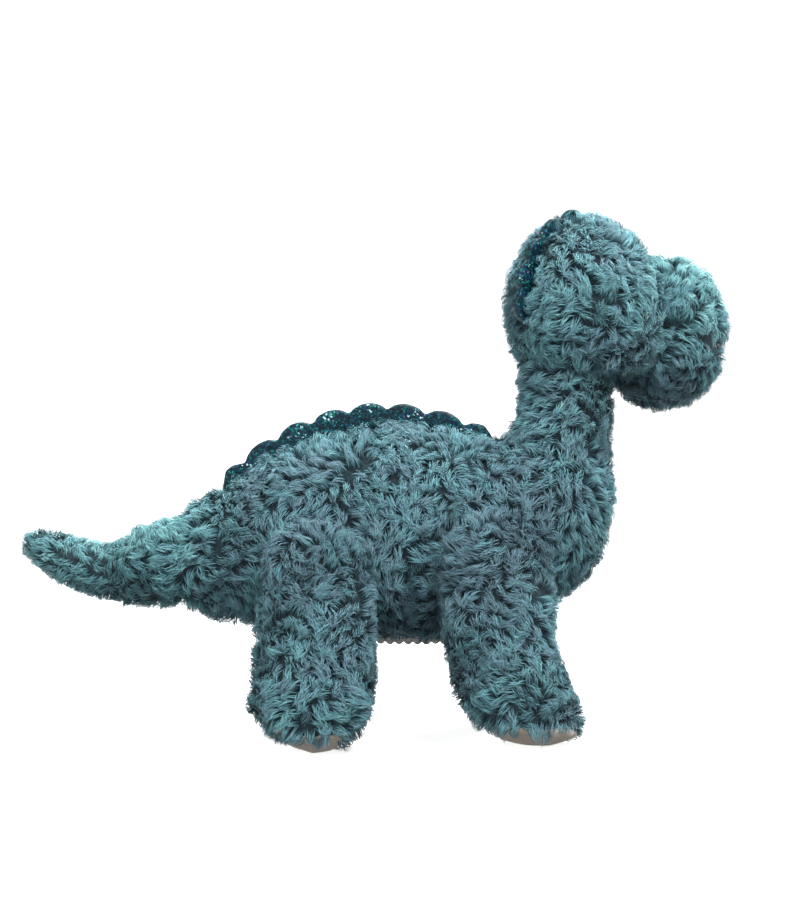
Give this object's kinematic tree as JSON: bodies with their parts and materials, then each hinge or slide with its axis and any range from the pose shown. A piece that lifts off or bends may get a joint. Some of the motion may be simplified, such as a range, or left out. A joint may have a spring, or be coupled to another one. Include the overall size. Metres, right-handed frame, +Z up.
{
  "type": "stuffed dinosaur",
  "caption": "Standing long-necked plush dinosaur with curled long pile, padded scalloped ridges, dimpled belly and smooth soles; stuffed neck, tail and legs flex.",
  "frame": {"origin": "on the floor, under the middle of the toy's bounding box", "axes": "+X from the tail to the nose, +Y to the toy's left, +Z up"},
  "size_m": [0.532, 0.2192, 0.3926],
  "materials": {
    "pile_fabric": "long curled pile, slightly glossy fibre tips",
    "dimpled_fabric": "short soft pile with raised dots",
    "shiny_fabric": "foil dots on dark knit, iridescent",
    "sole_fabric": "smooth brushed knit",
    "stuffing": "loose polyester fibre",
    "eye_plastic": "polished black",
    "washer_plastic": "moulded",
    "label_satin": "woven satin"
  },
  "bodies": {
    "torso": {"torso_fur_left": "pile_fabric", "torso_fur_right": "pile_fabric", "belly_panel": "dimpled_fabric", "torso_stuffing": "stuffing", "back_ridge": "shiny_fabric"},
    "neck": {"neck_fur_left": "pile_fabric", "neck_fur_right": "pile_fabric", "neck_stuffing": "stuffing"},
    "head": {"head_fur_left": "pile_fabric", "head_fur_right": "pile_fabric", "muzzle_fur_upper": "pile_fabric", "muzzle_fur_lower": "pile_fabric", "head_stuffing": "stuffing", "head_ridge": "shiny_fabric", "eye_left": "eye_plastic", "eye_right": "eye_plastic", "eye_washer_left": "washer_plastic", "eye_washer_right": "washer_plastic"},
    "tail_base": {"tail_base_fur_left": "pile_fabric", "tail_base_fur_right": "pile_fabric", "tail_base_stuffing": "stuffing", "care_label": "label_satin"},
    "tail_tip": {"tail_tip_fur_left": "pile_fabric", "tail_tip_fur_right": "pile_fabric", "tail_tip_stuffing": "stuffing"},
    "hind_leg_left": {"hind_leg_left_fur": "pile_fabric", "hind_leg_left_stuffing": "stuffing", "hind_leg_left_sole": "sole_fabric"},
    "hind_leg_right": {"hind_leg_right_fur": "pile_fabric", "hind_leg_right_stuffing": "stuffing", "hind_leg_right_sole": "sole_fabric"},
    "front_leg_left": {"front_leg_left_fur": "pile_fabric", "front_leg_left_stuffing": "stuffing", "front_leg_left_sole": "sole_fabric"},
    "front_leg_right": {"front_leg_right_fur": "pile_fabric", "front_leg_right_stuffing": "stuffing", "front_leg_right_sole": "sole_fabric"}
  },
  "joints": [
    {"name": "neck_bend", "type": "hinge", "parent": "torso", "child": "neck", "pos_m": [0.13553, 0, 0.203], "axis": [0, 1, 0], "range_deg": [-14, 14], "stiffness_Nm_per_rad": 4},
    {"name": "head_turn", "type": "hinge", "parent": "neck", "child": "head", "pos_m": [0.14353, 0, 0.266], "axis": [0, 0, 1], "range_deg": [-40, 15], "stiffness_Nm_per_rad": 1},
    {"name": "tail_swish", "type": "hinge", "parent": "torso", "child": "tail_base", "pos_m": [-0.15346, 0, 0.137], "axis": [0, 0, 1], "range_deg": [-20, 20], "stiffness_Nm_per_rad": 0.6},
    {"name": "tail_tip_lift", "type": "hinge", "parent": "tail_base", "child": "tail_tip", "pos_m": [-0.20847, 0, 0.132], "axis": [0, 1, 0], "range_deg": [-20, 20], "stiffness_Nm_per_rad": 0.4},
    {"name": "hind_leg_left_swing", "type": "hinge", "parent": "torso", "child": "hind_leg_left", "pos_m": [-0.04347, 0.052, 0.128], "axis": [0, 1, 0], "range_deg": [-10, 25], "stiffness_Nm_per_rad": 4},
    {"name": "hind_leg_right_swing", "type": "hinge", "parent": "torso", "child": "hind_leg_right", "pos_m": [-0.04347, -0.052, 0.128], "axis": [0, 1, 0], "range_deg": [-10, 25], "stiffness_Nm_per_rad": 4},
    {"name": "front_leg_left_swing", "type": "hinge", "parent": "torso", "child": "front_leg_left", "pos_m": [0.08253, 0.052, 0.128], "axis": [0, -1, 0], "range_deg": [-10, 25], "stiffness_Nm_per_rad": 4},
    {"name": "front_leg_right_swing", "type": "hinge", "parent": "torso", "child": "front_leg_right", "pos_m": [0.08253, -0.052, 0.128], "axis": [0, -1, 0], "range_deg": [-10, 25], "stiffness_Nm_per_rad": 4}
  ]
}
